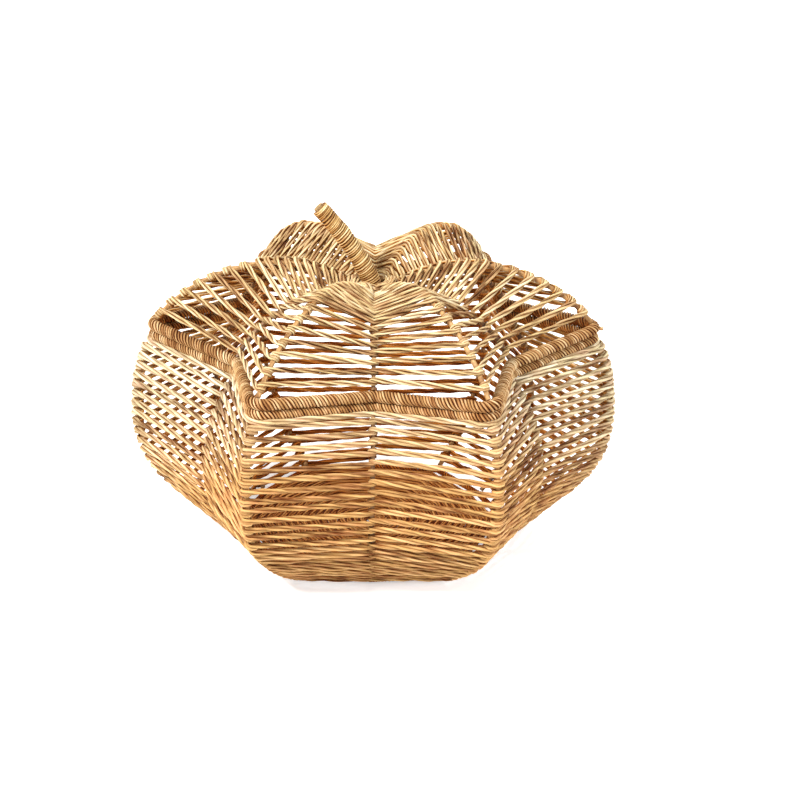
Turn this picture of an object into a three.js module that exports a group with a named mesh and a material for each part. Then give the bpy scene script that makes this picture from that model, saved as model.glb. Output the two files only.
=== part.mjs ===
// A pumpkin-shaped basket with a lift-off lid, in millimetres, +Z up, standing on its floor at z = 0.
// Twelve bent wire ribs stand between a base hoop and a bound rim: six ridge ribs at the crests of the
// lobes and six valley ribs in the folds. Straw cord is wound round and round them, straight from rib to
// rib. The lid is made the same way, between its own bound rim and a small ring at the crown, and a bent
// stem wound with thinner cord stands in that ring.
import * as THREE from "three";

// Clearances
const fitGap = 0.3; // between pieces that touch
const cordEndGap = 2; // between two cord lengths that meet end to end at a rib
const ribEndGap = 0.5; // between a rib's end and the rod that it stands on
const leastWindingGap = 0.4; // what each winding keeps to itself

// Lobes
const lobes = 6;

// Cord and wire
const cordDiameter = 4;
const cordSides = 6;
const ribDiameter = 4;
const ribSides = 6;
const ribStations = 10;
const rodSides = 8; // of the rims and the base hoop
const hoopSides = 6; // of the small round hoops
const hoopStations = 24;

// Basket frame, measured on the centre lines of its wires
const rimHeight = 177.3; // where the two rims meet, at the ridges
const rimDip = 6; // how much lower the rims run at the valleys
const baseHoopDiameter = 6;
const basketRimDiameter = 8;
const basketRidge = {
  foot: 113, // radius at the base hoop
  belly: 195, // widest radius
  bellyHeight: 107,
  rim: 180,
  lowerBend: 2.5, // how sharply it turns in under the belly
  upperBend: 2.6,
};
const basketValley = {
  foot: 105,
  belly: 155.5,
  bellyHeight: 92,
  rim: 127,
  lowerBend: 2.3,
  upperBend: 1.95,
};

// Basket cord
const basketCordGap = 3.5; // clear space between courses, along a valley rib
const basketCordLengths = ["lower", "middle", "upper"];
const firstCourseRise = 8; // along a rib, from the base hoop's centre line
const lastCourseDrop = 7.6; // along a rib, from the rim's centre line

// Floor
const floorThickness = 4;
const floorCordGap = 1.3; // between the floor's courses
const floorGrooveDepth = 1.4;
const floorHub = 9; // the closed middle

// Lid frame
const lidRimDiameter = 9;
const lidRidge = {
  crest: 54.5, // above the lid rim's centre line
  crestRadius: 76,
  rim: basketRidge.rim, // one rim lies on the other
  innerBend: 2,
  shoulder: 0.82, // lower is squarer
};
const lidValley = {
  crest: 35.5,
  crestRadius: 57,
  rim: basketValley.rim,
  innerBend: 1.8,
  shoulder: 0.72,
};
const crownHeight = 28; // of the crown ring, above the lid rim's centre line
const crownRingDiameter = 5; // the ring's rod
const rimRidgeRadius = 12; // bend radius of both rims at a ridge
const rimValleyRadius = 18;

// Lid cord
const crownCordGap = 0.65;
const crownReach = 0.46; // share of each lid rib that the close crown courses cover
const lidCordGap = 4;
const lidFirstCourse = 7.5; // along a rib, from the rim's centre line
const crownLastCourse = 13; // along a rib, from the crown ring's centre line

// Stem, a bend in the plane through +X, leaning to -X
const stemTipReach = 46;
const stemTipRise = 75;
const stemFootRise = 11; // how far it aims straight up
const stemKneeReach = 18;
const stemKneeRise = 46;
const stemCoreFoot = 5.2; // radius
const stemCoreTip = 4.4;
const stemSides = 10;
const stemStations = 10;
const stemCordDiameter = 2.8;
const stemCordGap = 1;
const stemCordSides = 5;
const stemCordSteps = 10; // to a turn
const stemTipBare = 2.5; // length of core that stands out of the winding
const collarSettling = 8; // tries at the loop's height

const cordRadius = cordDiameter / 2;
const ribRadius = ribDiameter / 2;
const hoopRadius = baseHoopDiameter / 2;
const basketRimRadius = basketRimDiameter / 2;
const lidRimRadius = lidRimDiameter / 2;
const crownRodRadius = crownRingDiameter / 2;
const crownRingRadius = stemCoreFoot + fitGap + crownRodRadius;
const basketRimHeight = rimHeight - fitGap / 2 - basketRimRadius;
const lidSeatHeight = rimHeight + fitGap / 2 + lidRimRadius;
const ribCount = 2 * lobes;
const ribStep = (2 * Math.PI) / ribCount;
const closeRib = 2 * Math.floor(lobes / 4) + 1; // the valley rib at the back, where cord lengths end

const straw = new THREE.MeshStandardMaterial({ color: 0xd9b36c, roughness: 0.75, metalness: 0 });
const paleStraw = new THREE.MeshStandardMaterial({ color: 0xe3c283, roughness: 0.75, metalness: 0 });
const rimCord = new THREE.MeshStandardMaterial({ color: 0xb98d4f, roughness: 0.8, metalness: 0 });
const stemCord = new THREE.MeshStandardMaterial({ color: 0xc49a5a, roughness: 0.8, metalness: 0 });
const cane = new THREE.MeshStandardMaterial({ color: 0xb08450, roughness: 0.8, metalness: 0 });
const wire = new THREE.MeshStandardMaterial({ color: 0x6b5238, roughness: 0.55, metalness: 0.6 });

// A tube along straight stretches, mitred at every point so that it keeps its thickness round a bend.
// sideways(i, tangent) gives a direction that one flat of the section faces at point i.
function tube(points, radius, sides, sideways, closed = false) {
  const count = points.length;
  const rings = points.map((point, i) => {
    const before = closed || i > 0 ? points[(i + count - 1) % count] : null;
    const after = closed || i < count - 1 ? points[(i + 1) % count] : null;
    const incoming = before ? point.clone().sub(before).normalize() : null;
    const outgoing = after ? after.clone().sub(point).normalize() : null;
    const tangent = (incoming ?? outgoing).clone().add(outgoing ?? incoming).normalize();
    const bend = incoming && outgoing ? outgoing.clone().sub(incoming) : new THREE.Vector3();
    const halfCosine = incoming && outgoing ? tangent.dot(outgoing) : 1;
    const inBend = bend.length() > 1e-6 ? bend.normalize() : null;
    const u = sideways(i, tangent).clone();
    u.addScaledVector(tangent, -u.dot(tangent)).normalize();
    const v = tangent.clone().cross(u);
    return Array.from({ length: sides }, (_, k) => {
      const angle = ((k + 0.5) / sides) * 2 * Math.PI;
      const spoke = u.clone().multiplyScalar(radius * Math.cos(angle));
      spoke.addScaledVector(v, radius * Math.sin(angle));
      if (inBend) spoke.addScaledVector(inBend, spoke.dot(inBend) * (1 / halfCosine - 1));
      return spoke.add(point);
    });
  });
  const index = [];
  for (let i = 0; i < (closed ? count : count - 1); i++) {
    const here = i * sides;
    const next = ((i + 1) % count) * sides;
    for (let k = 0; k < sides; k++) {
      const l = (k + 1) % sides;
      index.push(here + k, here + l, next + l, here + k, next + l, next + k);
    }
  }
  if (!closed) {
    const last = (count - 1) * sides;
    for (let k = 1; k < sides - 1; k++) {
      index.push(0, k + 1, k);
      index.push(last, last + k, last + k + 1);
    }
  }
  return surface(rings.flat(), index);
}

function surface(points, index) {
  const geometry = new THREE.BufferGeometry().setFromPoints(points);
  geometry.setIndex(index);
  geometry.computeVertexNormals();
  return geometry;
}

function mesh(name, geometry, material) {
  const made = new THREE.Mesh(geometry, material);
  made.name = name;
  return made;
}

// A basket rib's centre line in the XZ plane, from the base hoop up to the rim.
class BasketRib extends THREE.Curve {
  constructor(shape, topHeight) {
    super();
    this.shape = shape;
    this.topHeight = topHeight;
  }
  getPoint(t, target = new THREE.Vector3()) {
    const { foot, belly, bellyHeight, rim, lowerBend, upperBend } = this.shape;
    const z = hoopRadius + t * (this.topHeight - hoopRadius);
    const below = (bellyHeight - z) / (bellyHeight - hoopRadius);
    const above = (z - bellyHeight) / (this.topHeight - bellyHeight);
    const x =
      z < bellyHeight
        ? belly - (belly - foot) * Math.pow(below, lowerBend)
        : belly - (belly - rim) * Math.pow(above, upperBend);
    return target.set(x, 0, z);
  }
}

// A lid rib's centre line in the XZ plane, from the lid's rim up and in to the crown ring.
class LidRib extends THREE.Curve {
  constructor(shape, dip) {
    super();
    this.shape = shape;
    this.dip = dip;
  }
  getPoint(t, target = new THREE.Vector3()) {
    const { crest, crestRadius, rim, innerBend, shoulder } = this.shape;
    const x = crownRingRadius + (rim - crownRingRadius) * Math.cos((t * Math.PI) / 2);
    const inner = (crestRadius - x) / (crestRadius - crownRingRadius);
    const outer = (x - crestRadius) / (rim - crestRadius);
    const z =
      x < crestRadius
        ? crest - (crest - crownHeight) * Math.pow(inner, innerBend)
        : -this.dip + (crest + this.dip) * Math.pow(Math.max(0, 1 - outer * outer), shoulder);
    return target.set(x, 0, z);
  }
}

// The twelve ribs as curves, ridges at even places and valleys between them, from +X anticlockwise.
function ribSet(ridge, valley) {
  return Array.from({ length: ribCount }, (_, k) => ({
    curve: k % 2 === 0 ? ridge : valley,
    turn: k * ribStep,
  }));
}

const upwards = new THREE.Vector3(0, 0, 1);

function onRib(rib, distance) {
  const share = distance / rib.curve.getLength();
  const point = rib.curve.getPointAt(share);
  const along = rib.curve.getTangentAt(share);
  const out = new THREE.Vector3(along.z, 0, -along.x);
  return { point: point.applyAxisAngle(upwards, rib.turn), out: out.applyAxisAngle(upwards, rib.turn) };
}

// One rib's wire, cut off short of what it meets at each end.
function ribWire(curve, startTrim, endTrim) {
  const length = curve.getLength();
  const points = Array.from({ length: ribStations + 1 }, (_, i) => {
    const distance = startTrim + (i / ribStations) * (length - startTrim - endTrim);
    return curve.getPointAt(distance / length);
  });
  return tube(points, ribRadius, ribSides, () => new THREE.Vector3(0, 1, 0));
}

// Where the cord crosses a rib: outside it, far enough that both straight stretches clear the wire.
// place runs from 0 at the first course to 1 at the last, and seats are the bare ends of each rib.
function cordCorner(ribs, k, place, seats) {
  const at = (n) => {
    const rib = ribs[(n + ribCount) % ribCount];
    const free = rib.curve.getLength() - seats.start - seats.end;
    return onRib(rib, seats.start + place * free);
  };
  const here = at(k);
  const incoming = here.point.clone().sub(at(k - 1).point).normalize();
  const outgoing = at(k + 1).point.sub(here.point).normalize();
  const halfCosine = Math.cos(incoming.angleTo(outgoing) / 2);
  return here.point.addScaledVector(here.out, (ribRadius + fitGap + cordRadius) / halfCosine);
}

// One unbroken length of cord wound round the ribs, from one place to another in whole turns.
function woundCord(ribs, seats, fromPlace, toPlace, turns, startsAfterAnother) {
  const steps = turns * ribCount;
  const points = Array.from({ length: steps + 1 }, (_, i) => {
    const place = fromPlace + ((toPlace - fromPlace) * i) / steps;
    return cordCorner(ribs, (closeRib + i) % ribCount, place, seats);
  });
  if (startsAfterAnother) {
    const along = points[1].clone().sub(points[0]).normalize();
    points[0].addScaledVector(along, cordEndGap);
  }
  return points;
}

// The least clear space that a winding keeps to itself, measured between points along its centre line.
function selfGap(points, stepsPerTurn, diameter) {
  const finer = 6;
  const dense = [];
  for (let i = 0; i < points.length - 1; i++) {
    for (let k = 0; k < finer; k++) dense.push(points[i].clone().lerp(points[i + 1], k / finer));
  }
  const halfTurn = (stepsPerTurn * finer) / 2;
  let least = Infinity;
  for (let i = 0; i < dense.length; i++) {
    const stop = Math.min(dense.length, i + 3 * halfTurn);
    for (let j = i + halfTurn; j < stop; j++) least = Math.min(least, dense[i].distanceTo(dense[j]));
  }
  return least - diameter;
}

function reportWinding(name, points, stepsPerTurn, diameter) {
  const gap = selfGap(points, stepsPerTurn, diameter);
  const state = gap > leastWindingGap ? "clear" : "too close";
  const turns = (points.length - 1) / stepsPerTurn;
  console.log(`${name}: ${turns} turns, least gap to itself ${gap.toFixed(2)} mm, ${state}`);
}

function cordMesh(name, points, material) {
  reportWinding(name, points, ribCount, cordDiameter);
  const outward = (i) => new THREE.Vector3(points[i].x, points[i].y, 0);
  return mesh(name, tube(points, cordRadius, cordSides, outward), material);
}

// A hoop in the lobed plan whose rod is bent on an arc at each ridge and each valley.
function rimPath(ridgeRadius, valleyRadius, ridgeHeight, valleyHeight) {
  const points = [];
  const ridgeCentre = new THREE.Vector2(ridgeRadius - rimRidgeRadius, 0);
  const valleyCentre = new THREE.Vector2(valleyRadius + rimValleyRadius, 0);
  valleyCentre.rotateAround(new THREE.Vector2(), ribStep);
  const across = valleyCentre.clone().sub(ridgeCentre);
  const lean = Math.acos((rimRidgeRadius + rimValleyRadius) / across.length());
  const halfArc = across.angle() - lean; // where the straight side leaves the ridge's arc
  const arcAt = (centre, radius, angle, height, turn) =>
    new THREE.Vector3(centre.x + radius * Math.cos(angle), centre.y + radius * Math.sin(angle), height)
      .applyAxisAngle(upwards, turn);
  for (let lobe = 0; lobe < lobes; lobe++) {
    const turn = 2 * lobe * ribStep;
    for (const share of [-1, -0.5, 0, 0.5, 1])
      points.push(arcAt(ridgeCentre, rimRidgeRadius, share * halfArc, ridgeHeight, turn));
    const valleyArc = halfArc - ribStep;
    for (const share of [1, 0, -1]) {
      const angle = Math.PI + ribStep + share * valleyArc;
      points.push(arcAt(valleyCentre, rimValleyRadius, angle, valleyHeight, turn));
    }
  }
  return points;
}

function rimMesh(name, radius, ridgeHeight, valleyHeight, material) {
  const points = rimPath(basketRidge.rim, basketValley.rim, ridgeHeight, valleyHeight);
  return mesh(name, tube(points, radius, rodSides, () => upwards, true), material);
}

// The base hoop, a rod bent at every rib's foot, one flat of its section on the ground.
function hoopCorners(ridgeRadius, valleyRadius, height) {
  return Array.from({ length: ribCount }, (_, k) => {
    const radius = k % 2 === 0 ? ridgeRadius : valleyRadius;
    return new THREE.Vector3(radius, 0, height).applyAxisAngle(upwards, k * ribStep);
  });
}

function baseHoop() {
  const flatHeight = hoopRadius * Math.cos(Math.PI / rodSides);
  const corners = hoopCorners(basketRidge.foot, basketValley.foot, flatHeight);
  return mesh("base_ring", tube(corners, hoopRadius, rodSides, () => upwards, true), wire);
}

// The floor: a closely wound disc, flat below, each course a ridge on top, just inside the base hoop.
function floorWeave() {
  const corners = hoopCorners(basketRidge.foot, basketValley.foot, 0);
  const inset = (k) => {
    const incoming = corners[k].clone().sub(corners[(k + ribCount - 1) % ribCount]).normalize();
    const outgoing = corners[(k + 1) % ribCount].clone().sub(corners[k]).normalize();
    return (hoopRadius + fitGap) / Math.cos(incoming.angleTo(outgoing) / 2);
  };
  const edge = corners.map((corner, k) => corner.clone().setLength(corner.length() - inset(k)));
  const edgeRadius = basketValley.foot - hoopRadius - fitGap;
  const courses = Math.floor((edgeRadius - floorHub) / (cordDiameter + floorCordGap));
  const levels = [[1, 0]];
  for (let i = 0; i < courses; i++) {
    const course = (edgeRadius - floorHub) / courses / edgeRadius;
    levels.push([1 - i * course, floorThickness - floorGrooveDepth]);
    levels.push([1 - (i + 0.5) * course, floorThickness]);
  }
  levels.push([floorHub / edgeRadius, floorThickness - floorGrooveDepth]);
  const points = levels.flatMap(([share, z]) => edge.map((p) => new THREE.Vector3(p.x * share, p.y * share, z)));
  const index = [];
  for (let i = 0; i < levels.length - 1; i++) {
    for (let k = 0; k < ribCount; k++) {
      const a = i * ribCount + k;
      const b = i * ribCount + ((k + 1) % ribCount);
      index.push(a, b, b + ribCount, a, b + ribCount, a + ribCount);
    }
  }
  const centreBelow = points.push(new THREE.Vector3(0, 0, 0)) - 1;
  const centreAbove = points.push(new THREE.Vector3(0, 0, floorThickness)) - 1;
  const inmost = (levels.length - 1) * ribCount;
  for (let k = 0; k < ribCount; k++) {
    const l = (k + 1) % ribCount;
    index.push(centreBelow, l, k, centreAbove, inmost + k, inmost + l);
  }
  return mesh("floor_weave", surface(points, index), paleStraw);
}

function basket() {
  const group = new THREE.Group();
  const ridge = new BasketRib(basketRidge, basketRimHeight);
  const valley = new BasketRib(basketValley, basketRimHeight - rimDip);
  const ribs = ribSet(ridge, valley);
  group.add(baseHoop());
  group.add(floorWeave());
  addRibs(group, ribs, "basket", hoopRadius + ribEndGap, basketRimRadius + ribEndGap);
  group.add(rimMesh("basket_rim", basketRimRadius, basketRimHeight, basketRimHeight - rimDip, rimCord));
  const seats = { start: firstCourseRise, end: lastCourseDrop };
  const wound = valley.getLength() - seats.start - seats.end;
  const allTurns = Math.floor(wound / (cordDiameter + basketCordGap));
  const lengths = basketCordLengths.length;
  const turnsUpTo = (i) => Math.round((allTurns * i) / lengths);
  basketCordLengths.forEach((level, i) => {
    const from = turnsUpTo(i);
    const to = turnsUpTo(i + 1);
    const points = woundCord(ribs, seats, from / allTurns, to / allTurns, to - from, i > 0);
    group.add(cordMesh("basket_cord_" + level, points, straw));
  });
  return group;
}

function addRibs(group, ribs, owner, startTrim, endTrim) {
  ribs.forEach((rib, k) => {
    const kind = k % 2 === 0 ? "ridge" : "valley";
    const number = Math.floor(k / 2) + 1;
    const made = mesh(`${owner}_${kind}_rib_${number}`, ribWire(rib.curve, startTrim, endTrim), wire);
    made.rotation.z = rib.turn;
    group.add(made);
  });
}

function lid() {
  const group = new THREE.Group();
  group.position.z = lidSeatHeight;
  const ridge = new LidRib(lidRidge, 0);
  const valley = new LidRib(lidValley, rimDip);
  const ribs = ribSet(ridge, valley);
  addRibs(group, ribs, "lid", lidRimRadius + ribEndGap, crownRodRadius + ribEndGap);
  group.add(rimMesh("lid_rim", lidRimRadius, 0, -rimDip, rimCord));
  const crown = new THREE.Group();
  crown.position.z = crownHeight;
  crown.add(mesh("crown_ring", hoop(crownRingRadius, crownRodRadius), wire));
  addStem(crown, ridge);
  group.add(crown);
  const seats = { start: lidFirstCourse, end: crownLastCourse };
  const wound = valley.getLength() - seats.start - seats.end;
  const crownTurns = Math.floor((wound * crownReach) / (cordDiameter + crownCordGap));
  const openTurns = Math.floor((wound * (1 - crownReach)) / (cordDiameter + lidCordGap));
  const openCord = woundCord(ribs, seats, 0, 1 - crownReach, openTurns, false);
  const crownCord = woundCord(ribs, seats, 1 - crownReach, 1, crownTurns, true);
  group.add(cordMesh("crown_cord", crownCord, paleStraw));
  group.add(cordMesh("lid_cord", openCord, straw));
  return group;
}

function hoop(radius, rodRadius) {
  return new THREE.TorusGeometry(radius, rodRadius, hoopSides, hoopStations);
}

// The stem's centre line, from the middle of the crown ring.
function stemLine() {
  return new THREE.CubicBezierCurve3(
    new THREE.Vector3(0, 0, 0),
    new THREE.Vector3(0, 0, stemFootRise),
    new THREE.Vector3(-stemKneeReach, 0, stemKneeRise),
    new THREE.Vector3(-stemTipReach, 0, stemTipRise),
  );
}

// The bent core, thinner towards its tip, its foot through the crown ring.
function stemCore(line) {
  const sideways = new THREE.Vector3(0, 1, 0);
  const sections = [];
  const foot = new THREE.Vector3(0, 0, -crownRodRadius);
  const along = [[foot, line.getTangentAt(0), stemCoreFoot]];
  for (let i = 0; i <= stemStations; i++) {
    const share = i / stemStations;
    const radius = stemCoreFoot + (stemCoreTip - stemCoreFoot) * share;
    along.push([line.getPointAt(share), line.getTangentAt(share), radius]);
  }
  for (const [point, tangent, radius] of along) {
    const across = tangent.clone().cross(sideways).normalize();
    for (let k = 0; k < stemSides; k++) {
      const angle = (k / stemSides) * 2 * Math.PI;
      const spoke = across.clone().multiplyScalar(radius * Math.cos(angle));
      sections.push(spoke.addScaledVector(sideways, radius * Math.sin(angle)).add(point));
    }
  }
  return mesh("stem_core", surface(sections, loftIndex(along.length, stemSides)), cane);
}

function loftIndex(rings, sides) {
  const index = [];
  for (let i = 0; i < rings - 1; i++) {
    for (let k = 0; k < sides; k++) {
      const l = (k + 1) % sides;
      const here = i * sides;
      const next = here + sides;
      index.push(here + k, next + l, here + l, here + k, next + k, next + l);
    }
  }
  const last = (rings - 1) * sides;
  for (let k = 1; k < sides - 1; k++) {
    index.push(0, k, k + 1);
    index.push(last, last + k + 1, last + k);
  }
  return index;
}

// The cord wound up the stem in one helix from the crown ring to just short of the tip.
function stemWinding(line) {
  const sideways = new THREE.Vector3(0, 1, 0);
  const length = line.getLength();
  const cordR = stemCordDiameter / 2;
  const seat = crownRodRadius + fitGap + stemCordDiameter;
  const lean = -line.getTangentAt(seat / length).x; // lowers the winding's near side
  const low = seat + lean * (stemCoreFoot + stemCordDiameter);
  const high = length - stemTipBare - cordR;
  const turns = Math.floor((high - low) / (stemCordDiameter + stemCordGap));
  const steps = turns * stemCordSteps;
  const points = Array.from({ length: steps + 1 }, (_, i) => {
    const share = (low + ((high - low) * i) / steps) / length;
    const tangent = line.getTangentAt(share);
    const across = tangent.clone().cross(sideways).normalize();
    const core = stemCoreFoot + (stemCoreTip - stemCoreFoot) * share;
    const radius = (core + fitGap + cordR) / Math.cos(Math.PI / stemCordSteps);
    const angle = (i / stemCordSteps) * 2 * Math.PI;
    const point = line.getPointAt(share).addScaledVector(across, radius * Math.cos(angle));
    return point.addScaledVector(sideways, radius * Math.sin(angle));
  });
  reportWinding("stem_winding", points, stemCordSteps, stemCordDiameter);
  const outward = (i) => {
    const share = (low + ((high - low) * i) / steps) / length;
    return points[i].clone().sub(line.getPointAt(share));
  };
  return mesh("stem_winding", tube(points, cordR, stemCordSides, outward), stemCord);
}

// A loop of cord round the stem's foot, lying on the ridge ribs where they climb from the crown ring. It is
// centred on the leaning stem, so the ribs on the low side settle its height.
function stemCollar(line, ridge) {
  const cordR = stemCordDiameter / 2;
  const radius = stemCoreFoot + stemCordDiameter + 4 * fitGap + cordR;
  const climb = ridge.getTangentAt(1).negate();
  const overRib = (ribRadius + fitGap + cordR) / climb.x;
  const centre = new THREE.Vector3();
  for (let i = 0; i < collarSettling; i++) {
    const height = ((radius - centre.x - crownRingRadius) * climb.z) / climb.x + overRib;
    centre.copy(line.getPointAt(height / line.getLength())).setZ(height);
  }
  const made = mesh("stem_collar", hoop(radius, cordR), stemCord);
  made.position.copy(centre);
  return made;
}

function addStem(crown, ridge) {
  const line = stemLine();
  crown.add(stemCore(line));
  crown.add(stemWinding(line));
  crown.add(stemCollar(line, ridge));
}

const pumpkinBasket = new THREE.Group();
pumpkinBasket.add(basket());
pumpkinBasket.add(lid());

export default pumpkinBasket;
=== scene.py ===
# The looks of the pumpkin-shaped basket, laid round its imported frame, in metres, +Z up.
# Straw cord is three strands that take a turn round each rib wire, and only bend over it in the close turns
# of the crown; the rims, the base hoop and the stem are bound with strands too. One node tree winds them
# all, along routes worked out below.
import math
import random

import bpy
import numpy as np
from mathutils import Euler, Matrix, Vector


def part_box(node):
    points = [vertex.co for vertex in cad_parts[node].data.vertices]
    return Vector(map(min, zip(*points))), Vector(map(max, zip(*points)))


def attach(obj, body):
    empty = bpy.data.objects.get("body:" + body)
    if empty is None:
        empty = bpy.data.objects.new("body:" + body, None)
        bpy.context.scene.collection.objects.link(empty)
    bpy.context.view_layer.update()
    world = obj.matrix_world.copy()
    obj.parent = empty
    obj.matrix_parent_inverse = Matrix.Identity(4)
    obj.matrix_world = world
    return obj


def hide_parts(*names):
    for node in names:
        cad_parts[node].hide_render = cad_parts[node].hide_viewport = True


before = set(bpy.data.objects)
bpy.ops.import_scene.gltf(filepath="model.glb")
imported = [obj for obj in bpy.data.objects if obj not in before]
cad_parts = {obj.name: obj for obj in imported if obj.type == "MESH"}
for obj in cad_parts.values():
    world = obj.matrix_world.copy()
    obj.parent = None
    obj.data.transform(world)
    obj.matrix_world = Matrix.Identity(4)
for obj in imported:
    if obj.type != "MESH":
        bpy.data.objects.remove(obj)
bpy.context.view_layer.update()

mm = 0.001
upwards = Vector((0, 0, 1))

# Camera, at the photograph's viewing angle
photoView = {
    "elevation": 23.38,  # degrees above the floor
    "distance": 2408 * mm,
    "aim": Vector((0, 0, 177.2 * mm)),
    "focalPixels": 2941,
    "aimPixel": (373.3, 330.6),
    "roll": 0.55,  # degrees
    "framePixels": 800,
    "sensor": 36,
    "clipEnd": 30,
}


def makeCamera(view):
    camera = bpy.data.objects.new("camera", bpy.data.cameras.new("camera"))
    bpy.context.scene.collection.objects.link(camera)
    bpy.context.scene.camera = camera
    camera.data.sensor_width = view["sensor"]
    camera.data.lens = view["focalPixels"] / view["framePixels"] * view["sensor"]
    lift = math.radians(view["elevation"])
    back = Vector((0, -math.cos(lift), math.sin(lift)))
    camera.location = view["aim"] + back * view["distance"]
    right = view["framePixels"] / 2 - view["aimPixel"][0]
    down = view["framePixels"] / 2 - view["aimPixel"][1]
    turn = Euler((-math.atan(down / view["focalPixels"]), -math.atan(right / view["focalPixels"]), 0))
    roll = Euler((0, 0, math.radians(view["roll"])))
    camera.rotation_mode = "QUATERNION"
    camera.rotation_quaternion = (
        (-back).to_track_quat("-Z", "Y") @ turn.to_quaternion() @ roll.to_quaternion()
    )
    camera.data.clip_end = view["clipEnd"]


makeCamera(photoView)
print("camera ready")

# Node helpers


def addNode(tree, kind, sockets=None, **settings):
    made = tree.nodes.new(kind)
    for name, value in settings.items():
        setattr(made, name, value)
    for name, value in (sockets or {}).items():
        if isinstance(value, bpy.types.NodeSocket):
            tree.links.new(value, made.inputs[name])
        else:
            made.inputs[name].default_value = value
    return made


def mathNode(tree, operation, *values):
    return addNode(tree, "ShaderNodeMath", dict(enumerate(values)), operation=operation).outputs[0]


def vectorNode(tree, operation, *values):
    made = addNode(tree, "ShaderNodeVectorMath", dict(enumerate(values)), operation=operation)
    return made.outputs["Value" if operation == "DOT_PRODUCT" else "Vector"]


def scaled(tree, vector, amount):
    return addNode(
        tree, "ShaderNodeVectorMath", {"Vector": vector, "Scale": amount}, operation="SCALE"
    ).outputs["Vector"]


def spreadOut(tree, value, low, high, fromValue=0.0, toValue=1.0):
    return addNode(
        tree, "ShaderNodeMapRange",
        {"Value": value, "From Min": low, "From Max": high, "To Min": fromValue, "To Max": toValue},
    ).outputs["Result"]


def mixColours(tree, share, first, second, blend="MIX"):
    made = addNode(tree, "ShaderNodeMix", {"Factor": share}, data_type="RGBA", blend_type=blend)
    # a Mix node's sockets for colours, which share their names with others
    for socket, colour in ((made.inputs[6], first), (made.inputs[7], second)):
        if isinstance(colour, bpy.types.NodeSocket):
            tree.links.new(colour, socket)
        else:
            socket.default_value = colour
    return made.outputs[2]


def newGroup(name, kind, given, made):
    tree = bpy.data.node_groups.new(name, kind)
    for sockets, way in ((given, "INPUT"), (made, "OUTPUT")):
        for socket, socketKind in sockets.items():
            tree.interface.new_socket(socket, in_out=way, socket_type="NodeSocket" + socketKind)
    return tree, tree.nodes.new("NodeGroupInput").outputs, tree.nodes.new("NodeGroupOutput").inputs


def newMaterial(name):
    material = bpy.data.materials.new(name)
    material.use_nodes = True
    return material, material.node_tree


def shadeWith(tree, colour, roughness, height, strength, depth):
    shader = tree.nodes["Principled BSDF"]
    bump = addNode(tree, "ShaderNodeBump", {"Height": height, "Strength": strength, "Distance": depth})
    tree.links.new(colour, shader.inputs["Base Color"])
    tree.links.new(roughness, shader.inputs["Roughness"])
    tree.links.new(bump.outputs["Normal"], shader.inputs["Normal"])


# Straw: one shared group gives every cord its fibres and the painted shade where its strands meet, another
# finds the faces to paint in shade inside the basket and low down, and each material has its own tones

strawPattern = {
    "fibresAcross": 3,
    "patchesAlong": 26,
    "strandShift": 17.3,  # far enough for each strand to have a pattern of its own
    # the colour that the painted shade between strands multiplies by
    "paintedCreviceShade": (0.3, 0.15, 0.06, 1),
}
# ranges that are spread out from 0 to 1, or to the last two numbers
strawSpreads = {
    "fibres": (0.38, 0.62),
    "patches": (0.34, 0.66),
    "blush": (0.45, 0.65, 0.0, 0.85),
    "middle": (-0.1, 0.42),
    "pale": (0.45, 0.95),
    # these two place the painted shade on the side of each strand that faces the cord's middle, and where it
    # meets its neighbours
    "core": (0.0, -0.9),
    "side": (0.25, 0.85),
    "roughness": (0.3, 0.7, 0.8, 0.5),
    # the masks for the painted shade inside the basket and low down
    "inside": (0.0, -0.45),
    "low": (0.115, 0.02),
}
# paints the low shade higher up in front and behind than at the sides
lowShadeSlope = (0, -0.6, 1)


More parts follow.
